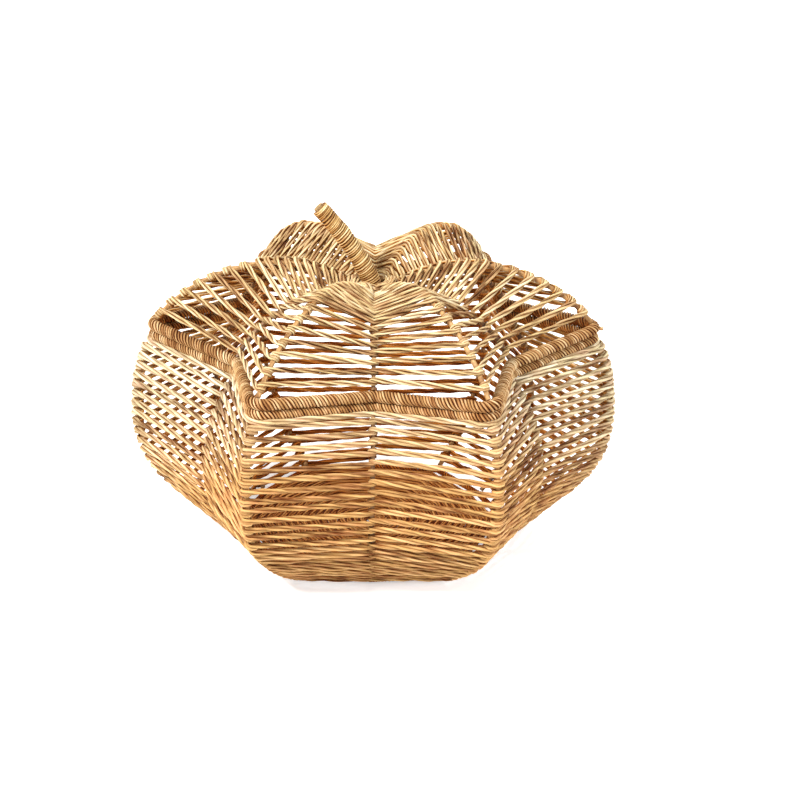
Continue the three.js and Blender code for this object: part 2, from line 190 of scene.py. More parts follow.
def strawGroup():
    tree, taken, given = newGroup(
        "strawFibresAndShade", "ShaderNodeTree",
        {"Vector": "Vector", "Strand": "Float", "Tone": "Float", "Dark": "Color", "Middle": "Color",
         "Pale": "Color", "Blush": "Color", "Fibres Along": "Float", "Patch Share": "Float",
         "Core Painted Shade": "Float", "Side Painted Shade": "Float"},
        {"Color": "Color", "Height": "Float", "Roughness": "Float"},
    )
    parts = addNode(tree, "ShaderNodeSeparateXYZ", {"Vector": taken["Vector"]}).outputs
    strandShift = mathNode(tree, "MULTIPLY", taken["Strand"], strawPattern["strandShift"])
    acrossX = mathNode(tree, "MULTIPLY", parts["X"], strawPattern["fibresAcross"])
    acrossY = mathNode(tree, "MULTIPLY", parts["Y"], strawPattern["fibresAcross"])
    along = mathNode(tree, "MULTIPLY", parts["Z"], taken["Fibres Along"])
    fibrePlace = addNode(tree, "ShaderNodeCombineXYZ", {"X": acrossX, "Y": acrossY, "Z": along}).outputs[0]
    fibres = addNode(
        tree, "ShaderNodeTexNoise",
        {"Vector": fibrePlace, "W": strandShift, "Scale": 1.0, "Detail": 4.0, "Roughness": 0.62},
        noise_dimensions="4D",
    ).outputs["Fac"]
    patchAlong = mathNode(tree, "MULTIPLY", parts["Z"], strawPattern["patchesAlong"])
    patches = addNode(
        tree, "ShaderNodeTexNoise",
        {"Vector": addNode(tree, "ShaderNodeCombineXYZ", {"X": patchAlong, "Y": strandShift}).outputs[0],
         "Scale": 1.0, "Detail": 2.0, "Roughness": 0.6},
        noise_dimensions="2D",
    ).outputs
    blushes = addNode(tree, "ShaderNodeSeparateColor", {"Color": patches["Color"]}).outputs["Green"]

    mixed = addNode(
        tree, "ShaderNodeMix",
        {"Factor": taken["Patch Share"], "A": spreadOut(tree, fibres, *strawSpreads["fibres"]),
         "B": spreadOut(tree, patches["Fac"], *strawSpreads["patches"])},
        data_type="FLOAT",
    ).outputs["Result"]
    tone = mathNode(tree, "ADD", mixed, taken["Tone"])
    blush = spreadOut(tree, blushes, *strawSpreads["blush"])
    middle = mixColours(tree, blush, taken["Middle"], taken["Blush"])
    colour = mixColours(tree, spreadOut(tree, tone, *strawSpreads["middle"]), taken["Dark"], middle)
    colour = mixColours(tree, spreadOut(tree, tone, *strawSpreads["pale"]), colour, taken["Pale"])

    # strands are darkened where they meet their neighbours: painted shade between them
    core = spreadOut(tree, parts["X"], *strawSpreads["core"])
    core = mathNode(tree, "MULTIPLY", core, taken["Core Painted Shade"])
    side = spreadOut(tree, mathNode(tree, "ABSOLUTE", parts["Y"]), *strawSpreads["side"])
    side = mathNode(tree, "MULTIPLY", side, taken["Side Painted Shade"])
    paintedCreviceShade = mathNode(tree, "MINIMUM", mathNode(tree, "ADD", core, side), 1.0)
    colour = mixColours(tree, paintedCreviceShade, colour, strawPattern["paintedCreviceShade"], "MULTIPLY")
    tree.links.new(colour, given["Color"])
    tree.links.new(fibres, given["Height"])
    tree.links.new(spreadOut(tree, fibres, *strawSpreads["roughness"]), given["Roughness"])
    return tree


# Masks for painted shade: the inside mask is 1 on faces that look towards a point in the basket and 0 on
# those that look out, the low mask is 1 near the ground, and from a greater height in front and behind than
# at the sides
def paintedShadeGroup():
    tree, taken, given = newGroup(
        "paintedShadeOfBasket", "ShaderNodeTree", {"Centre": "Vector"}, {"Inside": "Float", "Low Shade": "Float"}
    )
    place = tree.nodes.new("ShaderNodeTexCoord").outputs
    outwards = vectorNode(tree, "NORMALIZE", vectorNode(tree, "SUBTRACT", place["Object"], taken["Centre"]))
    facing = vectorNode(tree, "DOT_PRODUCT", outwards, place["Normal"])
    tree.links.new(spreadOut(tree, facing, *strawSpreads["inside"]), given["Inside"])
    whole = vectorNode(tree, "ABSOLUTE", place["Object"])
    height = vectorNode(tree, "DOT_PRODUCT", whole, lowShadeSlope)
    tree.links.new(spreadOut(tree, height, *strawSpreads["low"]), given["Low Shade"])
    return tree


strawFibresAndShade = strawGroup()
paintedShadeOfBasket = paintedShadeGroup()


def linear(hexColour):
    parts = [int(hexColour[i:i + 2], 16) / 255 for i in (0, 2, 4)]
    return tuple(c / 12.92 if c <= 0.04045 else ((c + 0.055) / 1.055) ** 2.4 for c in parts) + (1,)


strawBump = 0.8
strawRelief = 0.5 * mm
strawSpecular = 0.12
# painted shade: faces that look into the basket are darkened and browned by this
insideShadeTint = (0.94, 0.55, 0.21, 1)
# painted shade: the straw low down, near the ground, is darkened and browned by this
lowShadeTint = (0.91, 0.64, 0.385, 1)
strawFinishes = {
    "wallStraw": {
        "tones": ("6E3E12", "DACA9E", "FCF2D4", "D8B896"),
        "settings": {"Patch Share": 0.5, "Fibres Along": 90, "Core Painted Shade": 1.0, "Side Painted Shade": 0.4},
        "centre": 0.11,
    },
    "lidStraw": {
        "tones": ("66340A", "DCC088", "FAEEC6", "D4AA7A"),
        "settings": {"Patch Share": 0.5, "Fibres Along": 90, "Core Painted Shade": 1.2, "Side Painted Shade": 0.5},
        "centre": 0.12,
    },
    "floorStraw": {
        "tones": ("743C0C", "E4B476", "FBE2AE", "DEA66C"),
        "settings": {"Patch Share": 0.4, "Fibres Along": 90, "Core Painted Shade": 1.0, "Side Painted Shade": 0.4},
        "centre": -0.5,
    },
    "bindingStraw": {
        "tones": ("683810", "BE9660", "F4DEB2", "BC8A58"),
        "settings": {"Patch Share": 0.35, "Fibres Along": 120, "Core Painted Shade": 0.0, "Side Painted Shade": 1.0},
        "centre": 0.1,
    },
    "stemStraw": {
        "tones": ("5E3006", "CEA868", "F4E2B0", "C89C62"),
        "settings": {"Patch Share": 0.35, "Fibres Along": 120, "Core Painted Shade": 0.0, "Side Painted Shade": 1.1},
        "centre": -0.5,
    },
}


def strawMaterial(name, finish):
    material, tree = newMaterial(name)
    fibres = addNode(tree, "ShaderNodeGroup", node_tree=strawFibresAndShade)
    for socket, attribute, output in (
        ("Vector", "fibre", "Vector"), ("Strand", "strand", "Fac"), ("Tone", "tone", "Fac")
    ):
        read = addNode(tree, "ShaderNodeAttribute", attribute_name=attribute)
        tree.links.new(read.outputs[output], fibres.inputs[socket])
    for socket, tone in zip(("Dark", "Middle", "Pale", "Blush"), finish["tones"]):
        fibres.inputs[socket].default_value = linear(tone)
    for socket, value in finish["settings"].items():
        fibres.inputs[socket].default_value = value
    inside = addNode(tree, "ShaderNodeGroup", node_tree=paintedShadeOfBasket)
    inside.inputs["Centre"].default_value = (0, 0, finish["centre"])
    # painted shade: straw facing into the basket and straw low down are darkened
    colour = mixColours(tree, inside.outputs["Inside"], fibres.outputs["Color"], insideShadeTint, "MULTIPLY")
    # painted shade low down, near the ground
    colour = mixColours(tree, inside.outputs["Low Shade"], colour, lowShadeTint, "MULTIPLY")
    shadeWith(tree, colour, fibres.outputs["Roughness"], fibres.outputs["Height"], strawBump, strawRelief)
    tree.nodes["Principled BSDF"].inputs["Specular IOR Level"].default_value = strawSpecular
    return material


straws = {name: strawMaterial(name, finish) for name, finish in strawFinishes.items()}

wireGrain = {"scale": 220, "stretch": (1, 1, 0.3), "roughness": 0.6, "bump": 0.3}
caneGrain = {"scale": 900, "stretch": (1, 1, 1), "roughness": 0.7, "bump": 0.5}
grainSpread = {"tones": (0.35, 0.68), "roughness": 0.1, "relief": 0.2 * mm}


def grainMaterial(name, dark, pale, scale, stretch, roughness, bump):
    material, tree = newMaterial(name)
    place = addNode(tree, "ShaderNodeTexCoord").outputs["Object"]
    stretched = addNode(tree, "ShaderNodeMapping", {"Vector": place, "Scale": stretch}).outputs[0]
    grain = addNode(
        tree, "ShaderNodeTexNoise", {"Vector": stretched, "Scale": scale, "Detail": 5.0, "Roughness": 0.6}
    ).outputs["Fac"]
    ramp = addNode(tree, "ShaderNodeValToRGB", {"Fac": grain})
    for element, position, tone in zip(ramp.color_ramp.elements, grainSpread["tones"], (dark, pale)):
        element.position = position
        element.color = linear(tone)
    strays = grainSpread["roughness"]
    rough = spreadOut(tree, grain, 0.0, 1.0, roughness + strays, roughness - strays)
    shadeWith(tree, ramp.outputs["Color"], rough, grain, bump, grainSpread["relief"])
    return material


wireFinish = grainMaterial("coatedWire", "54341A", "A07444", **wireGrain)
ridgeFinish = grainMaterial("ridgeWire", "7E5228", "CCA066", **wireGrain)
caneFinish = grainMaterial("caneEnd", "7A5A34", "C2A06A", **caneGrain)
print("materials ready")

# The tree that winds strands round a route

strandSeedStep = 3.7  # between the noises that neighbouring strands wander and swell by


def windingTree():
    tree, taken, given = newGroup(
        "windStrands", "GeometryNodeTree",
        {"Route": "Geometry", "Strands": "Int", "Sides": "Int", "Step": "Float", "Depth": "Float",
         "Width": "Float", "Wander": "Float", "Unevenness": "Float", "Seed": "Float", "Straw": "Material"},
        {"Wound": "Geometry"},
    )

    def read(name, kind):
        return addNode(
            tree, "GeometryNodeInputNamedAttribute", {"Name": name}, data_type=kind
        ).outputs["Attribute"]

    line = addNode(tree, "GeometryNodeMeshToCurve", {"Mesh": taken["Route"]}).outputs["Curve"]
    even = addNode(
        tree, "GeometryNodeResampleCurve", {"Curve": line, "Length": taken["Step"]}, mode="LENGTH"
    ).outputs["Curve"]
    copies = addNode(
        tree, "GeometryNodeDuplicateElements", {"Geometry": even, "Amount": taken["Strands"]}, domain="SPLINE"
    )
    index = copies.outputs["Duplicate Index"]

    # which way each strand stands off the route
    tangent = tree.nodes.new("GeometryNodeInputTangent").outputs["Tangent"]
    lean = read("lean", "FLOAT_VECTOR")
    along = scaled(tree, tangent, vectorNode(tree, "DOT_PRODUCT", lean, tangent))
    square = vectorNode(tree, "NORMALIZE", vectorNode(tree, "SUBTRACT", lean, along))
    shareOfTurn = mathNode(tree, "DIVIDE", mathNode(tree, "MULTIPLY", index, 2 * math.pi), taken["Strands"])
    angle = mathNode(tree, "ADD", read("twist", "FLOAT"), shareOfTurn)
    spread = addNode(
        tree, "ShaderNodeVectorRotate", {"Vector": square, "Axis": tangent, "Angle": angle},
        rotation_type="AXIS_ANGLE",
    ).outputs["Vector"]
    kept = addNode(tree, "GeometryNodeCaptureAttribute", {"Geometry": copies.outputs["Geometry"]})
    kept.capture_items.new("VECTOR", "spread")
    kept.capture_items.new("FLOAT", "travelled")
    tree.links.new(spread, kept.inputs["spread"])
    tree.links.new(tree.nodes.new("GeometryNodeSplineParameter").outputs["Length"], kept.inputs["travelled"])
    spread = kept.outputs["spread"]

    # where it lies, with a little wander of its own
    seed = mathNode(tree, "ADD", mathNode(tree, "MULTIPLY", index, strandSeedStep), taken["Seed"])
    place = tree.nodes.new("GeometryNodeInputPosition").outputs["Position"]
    stray = addNode(
        tree, "ShaderNodeTexNoise", {"Vector": place, "W": seed, "Scale": 70.0, "Detail": 1.0},
        noise_dimensions="4D",
    )
    centred = vectorNode(tree, "SUBTRACT", stray.outputs["Color"], (0.5, 0.5, 0.5))
    wander = scaled(tree, centred, taken["Wander"])
    offset = vectorNode(tree, "ADD", scaled(tree, spread, read("reach", "FLOAT")), wander)
    laid = addNode(
        tree, "GeometryNodeSetPosition", {"Geometry": kept.outputs["Geometry"], "Offset": offset}
    ).outputs["Geometry"]
    turned = addNode(
        tree, "GeometryNodeSetCurveNormal", {"Curve": laid, "Normal": spread}, mode="FREE"
    ).outputs["Curve"]

    # its section, and how full it is
    circle = addNode(
        tree, "GeometryNodeCurvePrimitiveCircle", {"Resolution": taken["Sides"], "Radius": 1.0}
    ).outputs["Curve"]
    around = addNode(tree, "GeometryNodeCaptureAttribute", {"Geometry": circle})
    around.capture_items.new("VECTOR", "around")
    rim = tree.nodes.new("GeometryNodeInputPosition").outputs["Position"]
    tree.links.new(rim, around.inputs["around"])
    halfDepth = mathNode(tree, "MULTIPLY", taken["Depth"], 0.5)
    halfWidth = mathNode(tree, "MULTIPLY", taken["Width"], 0.5)
    halfSize = addNode(tree, "ShaderNodeCombineXYZ", {"X": halfDepth, "Y": halfWidth}).outputs["Vector"]
    section = addNode(
        tree, "GeometryNodeSetPosition",
        {"Geometry": around.outputs["Geometry"], "Position": vectorNode(tree, "MULTIPLY", rim, halfSize)},
    ).outputs["Geometry"]
    swell = addNode(
        tree, "ShaderNodeTexNoise", {"Vector": place, "W": seed, "Scale": 110.0, "Detail": 0.0},
        noise_dimensions="4D",
    ).outputs["Fac"]
    uneven = mathNode(tree, "MULTIPLY", mathNode(tree, "SUBTRACT", swell, 0.5), taken["Unevenness"])
    fullness = mathNode(tree, "MULTIPLY", read("fullness", "FLOAT"), mathNode(tree, "ADD", uneven, 1.0))
    strand = addNode(
        tree, "GeometryNodeCurveToMesh",
        {"Curve": turned, "Profile Curve": section, "Scale": fullness, "Fill Caps": True},
    ).outputs["Mesh"]

    # what the straw's pattern follows
    spots = addNode(tree, "ShaderNodeSeparateXYZ", {"Vector": around.outputs["around"]}).outputs
    fibre = addNode(
        tree, "ShaderNodeCombineXYZ", {"X": spots["X"], "Y": spots["Y"], "Z": kept.outputs["travelled"]}
    ).outputs["Vector"]
    for name, kind, value in (("fibre", "FLOAT_VECTOR", fibre), ("strand", "FLOAT", index)):
        strand = addNode(
            tree, "GeometryNodeStoreNamedAttribute", {"Geometry": strand, "Name": name, "Value": value},
            data_type=kind, domain="POINT",
        ).outputs["Geometry"]
    smooth = addNode(tree, "GeometryNodeSetShadeSmooth", {"Geometry": strand}).outputs["Geometry"]
    real = addNode(tree, "GeometryNodeRealizeInstances", {"Geometry": smooth}).outputs["Geometry"]
    finished = addNode(tree, "GeometryNodeSetMaterial", {"Geometry": real, "Material": taken["Straw"]})
    tree.links.new(finished.outputs["Geometry"], given["Wound"])
    return tree


windStrands = windingTree()


# Each route is its spots in order and, where it closes on itself, the twist that it gains once round
def windAlong(name, routes, size, straw):
    points = []
    edges = []
    for spots, gain in routes:
        start = len(points)
        points += spots
        if gain is not None:
            points.append({**spots[0], "twist": spots[0]["twist"] + gain})
        edges += [(i, i + 1) for i in range(start, len(points) - 1)]
    mesh = bpy.data.meshes.new(name)
    mesh.from_pydata([point["at"] for point in points], edges, [])
    lean = mesh.attributes.new("lean", "FLOAT_VECTOR", "POINT")
    lean.data.foreach_set("vector", [c for point in points for c in point["lean"]])
    for key in ("twist", "reach", "fullness", "tone"):
        values = mesh.attributes.new(key, "FLOAT", "POINT")
        values.data.foreach_set("value", [point[key] for point in points])
    piece = bpy.data.objects.new(name, mesh)
    bpy.context.scene.collection.objects.link(piece)
    modifier = piece.modifiers.new("wind", "NODES")
    modifier.node_group = windStrands
    identifiers = {
        item.name: item.identifier for item in windStrands.interface.items_tree if item.in_out == "INPUT"
    }
    for key, value in {**size, "Straw": straw}.items():
        modifier[identifiers[key]] = value
    depsgraph = bpy.context.evaluated_depsgraph_get()
    wound = bpy.data.meshes.new_from_object(piece.evaluated_get(depsgraph))
    piece.modifiers.clear()
    piece.data = wound
    wound.name = name
    bpy.data.meshes.remove(mesh)
    for key in ("lean", "twist", "reach", "fullness"):
        wound.attributes.remove(wound.attributes[key])
    print(name, len(wound.polygons), "faces")
    return piece


def spot(at, lean, twist=0.0, reach=0.0, fullness=1.0, tone=0.0):
    return {"at": at, "lean": lean, "twist": twist, "reach": reach, "fullness": fullness, "tone": tone}


# The ribs' centre lines, ridge first and valley second, as the frame has them

lobeCount = 6
ribCount = 2 * lobeCount
ribStep = 2 * math.pi / ribCount
backRib = 3  # the valley rib at the back, where the cord lengths end
lineStations = 241
rodSides = 8  # of the solid hoop, which stands on one flat
ribRadius = 2 * mm
hoopRadius = 3 * mm
basketRimRadius = 4 * mm
lidRimRadius = 4.5 * mm
rimDip = 6 * mm
basketRimHeight = 173.15 * mm
lidSeatHeight = 181.95 * mm
crownHeight = 28 * mm
crownRingRadius = 8 * mm
basketRibs = [
    {"foot": 113 * mm, "belly": 195 * mm, "bellyHeight": 107 * mm, "rim": 180 * mm,
     "lower": 2.5, "upper": 2.6},
    {"foot": 105 * mm, "belly": 155.5 * mm, "bellyHeight": 92 * mm, "rim": 127 * mm,
     "lower": 2.3, "upper": 1.95},
]
lidRibs = [
    {"crest": 54.5 * mm, "crestRadius": 76 * mm, "rim": basketRibs[0]["rim"], "inner": 2, "shoulder": 0.82},
    {"crest": 35.5 * mm, "crestRadius": 57 * mm, "rim": basketRibs[1]["rim"], "inner": 1.8, "shoulder": 0.72},
]


def basketLine(shape, dip):
    top = basketRimHeight - dip
    points = []
    for t in np.linspace(0, 1, lineStations):
        z = hoopRadius + t * (top - hoopRadius)
        if z < shape["bellyHeight"]:
            below = (shape["bellyHeight"] - z) / (shape["bellyHeight"] - hoopRadius)
            x = shape["belly"] - (shape["belly"] - shape["foot"]) * below ** shape["lower"]
        else:
            above = (z - shape["bellyHeight"]) / (top - shape["bellyHeight"])
            x = shape["belly"] - (shape["belly"] - shape["rim"]) * above ** shape["upper"]
        points.append((x, z))
    return measuredLine(points)


def lidLine(shape, dip):
    points = []
    for t in np.linspace(0, 1, lineStations):
        x = crownRingRadius + (shape["rim"] - crownRingRadius) * math.cos(t * math.pi / 2)
        if x < shape["crestRadius"]:
            inner = (shape["crestRadius"] - x) / (shape["crestRadius"] - crownRingRadius)
            z = shape["crest"] - (shape["crest"] - crownHeight) * inner ** shape["inner"]
        else:
            outer = (x - shape["crestRadius"]) / (shape["rim"] - shape["crestRadius"])
            z = -dip + (shape["crest"] + dip) * max(0, 1 - outer * outer) ** shape["shoulder"]
        points.append((x, lidSeatHeight + z))
    return measuredLine(points)


def measuredLine(points):
    xs, zs = np.array(points).T
    gone = np.concatenate([[0], np.cumsum(np.hypot(np.diff(xs), np.diff(zs)))])
    return {"x": xs, "z": zs, "gone": gone, "length": gone[-1],
            "dx": np.gradient(xs, gone), "dz": np.gradient(zs, gone)}


def turnedAboutUp(x, y, z, angle):
    c, s = math.cos(angle), math.sin(angle)
    return Vector((x * c - y * s, x * s + y * c, z))


# Point on rib k, the way along it and the way out of the basket there
def onRib(lines, k, place, seats):
    line = lines[k % 2]
    distance = seats[0] + place * (line["length"] - seats[0] - seats[1])
    x, z, dx, dz = (float(np.interp(distance, line["gone"], line[key])) for key in ("x", "z", "dx", "dz"))
    turn = k * ribStep
    along = turnedAboutUp(dx, 0, dz, turn).normalized()
    out = turnedAboutUp(dz, 0, -dx, turn).normalized()
    return turnedAboutUp(x, 0, z, turn), along, out


wallLines = [basketLine(basketRibs[0], 0), basketLine(basketRibs[1], rimDip)]
lidLines = [lidLine(lidRibs[0], 0), lidLine(lidRibs[1], rimDip)]

# Wound cord

cordTurn = ribRadius + 1.3 * mm  # radius of the turn round a ridge rib's wire
cordLay = {
    "strandReach": 1.25 * mm,  # from the cord's middle to each strand's
    "valleyTurn": ribRadius + 0.4 * mm,
    "tightReach": 0.75 * mm,  # at a valley rib, and where the cord goes twice round, the strands lie closer
    "looseFullness": 1.05,
    "tightFullness": 0.82,
    "ridgeTone": -0.05,
    # knots at the valley ribs are painted darker, as shade in the valleys
    "valleyShadeTone": -0.25,
    "turnSteps": 12,
    "turnSpread": (-0.25, 0.35),  # mm that a turn's radius is out by
    "climbSpread": (0.75, 1.2),
    "roping": 1.6,  # the most that a turn twists the strands, in radians
    "halfLay": 34 * mm,  # length in which the strands go half round
    "halfLaySpread": 0.6,  # in half rounds of a span
    "fullSagSpan": 90 * mm,  # shorter spans sag less
    "bulge": 0.3,  # how far spans stand out, as a share of how far they sag in
    "spanShares": (0.1, 0.3, 0.5, 0.7, 0.9),
    "fullnessRange": (0.85, 1.15),
    "toneRange": (-0.32, 0.22),
}
cordSize = {"Strands": 3, "Sides": 6, "Step": 2.4 * mm, "Depth": 2.3 * mm, "Width": 2.15 * mm,
            "Wander": 1.2 * mm, "Unevenness": 0.5}


# One length of cord round and round the ribs, between two places that are shares of a rib's length. Where
# rise isn't 0 it takes a full turn round each wire, or ridgeWraps of them round a ridge's, and climbs by
# rise with each; elsewhere, and over the first wire of one that startsBare, it only bends over the wire.
# valleyPlaces bends the shares at the valley ribs.
def woundCord(lines, seats, fromPlace, toPlace, turns, rise, sag, seed, startsBare=False, turnRadius=cordTurn,
              ridgeWraps=1, valleyPlaces=((0, 1), (0, 1))):
    draw = random.Random(seed)
    lay = cordLay
    steps = turns * ribCount
    crossings = []
    for i in range(-1, steps + 2):
        k = (backRib + i) % ribCount
        place = fromPlace + (toPlace - fromPlace) * i / steps
        if k % 2:
            place = float(np.interp(place, *valleyPlaces))
        crossings.append(onRib(lines, k, place, seats))
    route = []
    twist = 0.0
    for i in range(steps + 1):
        point, along, out = crossings[i + 1]
        atRidge = (backRib + i) % 2 == 0
        side = along.cross(out)
        arriving = (point - crossings[i][0]).normalized()
        leaving = (crossings[i + 2][0] - point).normalized()
        first = -math.asin(max(-1, min(1, arriving.dot(out))))
        last = -math.asin(max(-1, min(1, leaving.dot(out))))
        if rise and not (startsBare and i == 0):
            wraps = ridgeWraps if atRidge else 1
            shares = [j / (wraps * lay["turnSteps"]) for j in range(wraps * lay["turnSteps"] + 1)]
            angles = [first + (2 * math.pi * wraps + last - first) * share for share in shares]
            climb = rise * wraps * draw.uniform(*lay["climbSpread"])
            roping = draw.uniform(-lay["roping"], lay["roping"])
            radius = turnRadius if atRidge else lay["valleyTurn"]
            loose = atRidge and wraps == 1
            reach = lay["strandReach"] if loose else lay["tightReach"]
            fullness = lay["looseFullness"] if loose else lay["tightFullness"]
            # painted shade: knots at valley ribs take the darker tone
            tone = lay["ridgeTone"] if atRidge else lay["valleyShadeTone"]
        else:
            shares = [0, 0.5, 1] if atRidge else [0.5]
            angles = [first + (last - first) * share for share in shares]
            climb = rise
            roping = 0
            radius = turnRadius
            reach, fullness, tone = lay["strandReach"], lay["looseFullness"], lay["ridgeTone"]
        radius += draw.uniform(*lay["turnSpread"]) * mm
        knot = [
            point + along * (climb * (share - 0.5)) + (out * math.cos(a) + side * math.sin(a)) * radius
            for share, a in zip(shares, angles)
        ]
        if route:
            start = route[-1]
            span = knot[0] - start["at"]
            stray = draw.uniform(-lay["halfLaySpread"], lay["halfLaySpread"])
            halfTwists = max(1, round(span.length / lay["halfLay"] + stray))
            sags = sag * min(1, span.length / lay["fullSagSpan"])
            sagAlong, sagOut = draw.uniform(-sags, sags), draw.uniform(-sags, lay["bulge"] * sags)
            spanFullness = draw.uniform(*lay["fullnessRange"])
            spanTone = draw.uniform(*lay["toneRange"])
            for share in lay["spanShares"]:
                bow = math.sin(math.pi * share)
                at = start["at"] + span * share + along * (sagAlong * bow) + out * (sagOut * bow)
                route.append(spot(at, start["lean"].lerp(along, share), twist + halfTwists * math.pi * share,
                                  lay["strandReach"], 1 + (spanFullness - 1) * bow, spanTone))
            twist += halfTwists * math.pi
        route += [
            spot(at, along, twist + roping * share, reach, fullness, tone)
            for at, share in zip(knot, shares)
        ]
        twist += roping
    return route


rimBend = {"ridgeRadius": 12 * mm, "valleyRadius": 18 * mm, "ridgeStations": 9, "valleyStations": 7,
           "ridge": basketRibs[0]["rim"], "valley": basketRibs[1]["rim"]}
rimCord = {"outBy": 3.6 * mm, "downBy": 4.6 * mm, "outSpread": 0.4, "downSpread": 0.5,  # the spreads in mm
           "toneRange": (-0.1, 0.15)}


# A rim's line, from the middle of a straight stretch, where the ends of a closed route meet unseen
def rimCorners(height, dip):
    bend = rimBend
    ridgeCentre = Vector((bend["ridge"] - bend["ridgeRadius"], 0, 0))
    valleyCentre = turnedAboutUp(bend["valley"] + bend["valleyRadius"], 0, 0, ribStep)
    across = valleyCentre - ridgeCentre
    lean = math.acos((bend["ridgeRadius"] + bend["valleyRadius"]) / across.length)
    halfArc = math.atan2(across.y, across.x) - lean
    points = []
    for lobe in range(lobeCount):
        turn = 2 * lobe * ribStep
        for share in np.linspace(-1, 1, bend["ridgeStations"]):
            angle = share * halfArc
            x = ridgeCentre.x + bend["ridgeRadius"] * math.cos(angle)
            points.append(turnedAboutUp(x, bend["ridgeRadius"] * math.sin(angle), height, turn))
        for share in np.linspace(1, -1, bend["valleyStations"]):
            angle = math.pi + ribStep + share * (halfArc - ribStep)
            x = valleyCentre.x + bend["valleyRadius"] * math.cos(angle)
            y = valleyCentre.y + bend["valleyRadius"] * math.sin(angle)
            points.append(turnedAboutUp(x, y, height - dip, turn))
    return [points[-1].lerp(points[0], 0.5)] + points


# A length of cord hugging a rim, a little outwards of its line and below it
def cordAlongRim(height, cord, seed):
    draw = random.Random(seed)
    corners = rimCorners(height, rimDip)
    total = sum((corner - corners[i - 1]).length for i, corner in enumerate(corners))
    gain = 2 * math.pi * round(total / (2 * cordLay["halfLay"]))
    spots = []
    gone = 0.0
    for i, corner in enumerate(corners):
        before, after = corners[i - 1], corners[(i + 1) % len(corners)]
        out = (after - before).cross(upwards).normalized()
        outwards = cord["outBy"] + draw.uniform(-cord["outSpread"], cord["outSpread"]) * mm
        down = cord["downBy"] + draw.uniform(-cord["downSpread"], cord["downSpread"]) * mm
        at = corner + out * outwards - upwards * down
        tone = draw.uniform(*cord["toneRange"])
        spots.append(spot(at, upwards, gain * gone / total, cordLay["strandReach"], 1.0, tone))
        gone += (after - corner).length
    return spots, gain


wallCord = {"seats": (8 * mm, 7.6 * mm), "turns": {"Lower": 8, "Middle": 7, "Upper": 8},
            "strand": {"Lower": 2.2 * mm, "Middle": 2.5 * mm, "Upper": 2.55 * mm},
            "rise": 2.8 * mm, "sag": 0.9 * mm, "valleyPlaces": ((0, 0.4, 1), (0, 0.362, 1))}
lidCord = {"seats": (7.5 * mm, 4.5 * mm), "openTurns": 7, "crownTurns": 12, "crownReach": 0.488,
           "valleyCrownReach": 0.56,  # the close courses reach further down the valleys
           "rise": 2.6 * mm, "sag": 1.0 * mm, "crownSag": 1.2 * mm, "ridgeTurn": ribRadius + 0.8 * mm,
           # the heap is laid over the last turns
           "heapFrom": 0.94, "heapTo": 0.99, "heapTurns": 3, "heapTurn": cordTurn + 3.6 * mm}

pieces = []
allTurns = sum(wallCord["turns"].values())
turnsDone = 0
for number, (level, turns) in enumerate(wallCord["turns"].items()):
    route = woundCord(
        wallLines, wallCord["seats"], turnsDone / allTurns, (turnsDone + turns) / allTurns, turns,
        wallCord["rise"], wallCord["sag"], seed=11 + number, startsBare=number > 0,
        valleyPlaces=wallCord["valleyPlaces"],
    )
    routes = [(route, None)]
    if level == "Upper":
        routes.append(cordAlongRim(basketRimHeight, rimCord, seed=15))
    strand = wallCord["strand"][level]
    size = {**cordSize, "Depth": strand, "Width": strand, "Seed": 1.0 + number}
    piece = windAlong("wallCord" + level, routes, size, straws["wallStraw"])
    pieces.append((piece, "basket", ["basket_cord_" + level.lower()], "straw_cord"))
    turnsDone += turns

openShare = 1 - lidCord["crownReach"]
lidValleys = ((0, openShare, 1), (0, 1 - lidCord["valleyCrownReach"], 1))
openRoute = woundCord(
    lidLines, lidCord["seats"], 0, openShare, lidCord["openTurns"], lidCord["rise"], lidCord["sag"], seed=21,
    turnRadius=lidCord["ridgeTurn"], ridgeWraps=2, valleyPlaces=lidValleys,
)
crownRoute = woundCord(
    lidLines, lidCord["seats"], openShare, 1, lidCord["crownTurns"], 0, lidCord["crownSag"], seed=22,
    startsBare=True, valleyPlaces=lidValleys,
)
heapRoute = woundCord(
    lidLines, lidCord["seats"], lidCord["heapFrom"], lidCord["heapTo"], lidCord["heapTurns"], 0,
    lidCord["crownSag"], seed=23, turnRadius=lidCord["heapTurn"],
)
piece = windAlong("lidCordOpen", [(openRoute, None)], {**cordSize, "Seed": 5.0}, straws["lidStraw"])
pieces.append((piece, "lid", ["lid_cord"], "straw_cord"))
routes = [(crownRoute, None), (heapRoute, None)]
size = {**cordSize, "Depth": 2.5 * mm, "Width": 2.4 * mm, "Seed": 6.0}
piece = windAlong("lidCordCrown", routes, size, straws["lidStraw"])
pieces.append((piece, "lid", ["crown_cord"], "close_straw"))
print("cords ready")

# Bound rims and base hoop


bindingWaves = {"number": 6, "times": (9, 40), "sizes": (0.05, 0.22)}
bindingTones = (-0.35, 0.2)


# A closed route whose strands turn a whole number of times round it, here a little faster, there slower
def boundRoute(corners, lean, advance, reach, gap, seed):
    draw = random.Random(seed)
    count = len(corners)
    spans = [(corners[(i + 1) % count] - corners[i]).length for i in range(count)]
    total = sum(spans)
    turns = round(total / advance)
    times, sizes = bindingWaves["times"], bindingWaves["sizes"]
    waves = [
        (draw.randint(*times), draw.uniform(0, 2 * math.pi), draw.uniform(*sizes))
        for _ in range(bindingWaves["number"])
    ]
    spots = []
    gone = 0.0
    for i, corner in enumerate(corners):
        cuts = max(1, round(spans[i] / gap))
        for cut in range(cuts):
            share = cut / cuts
            around = 2 * math.pi * (gone + spans[i] * share) / total
            hurry = sum(size * math.sin(often * around + phase) for often, phase, size in waves)
            at = corner.lerp(corners[(i + 1) % count], share)
            spots.append(spot(at, lean, turns * around + hurry, reach, tone=draw.uniform(*bindingTones)))
        gone += spans[i]
    return spots, 2 * math.pi * turns


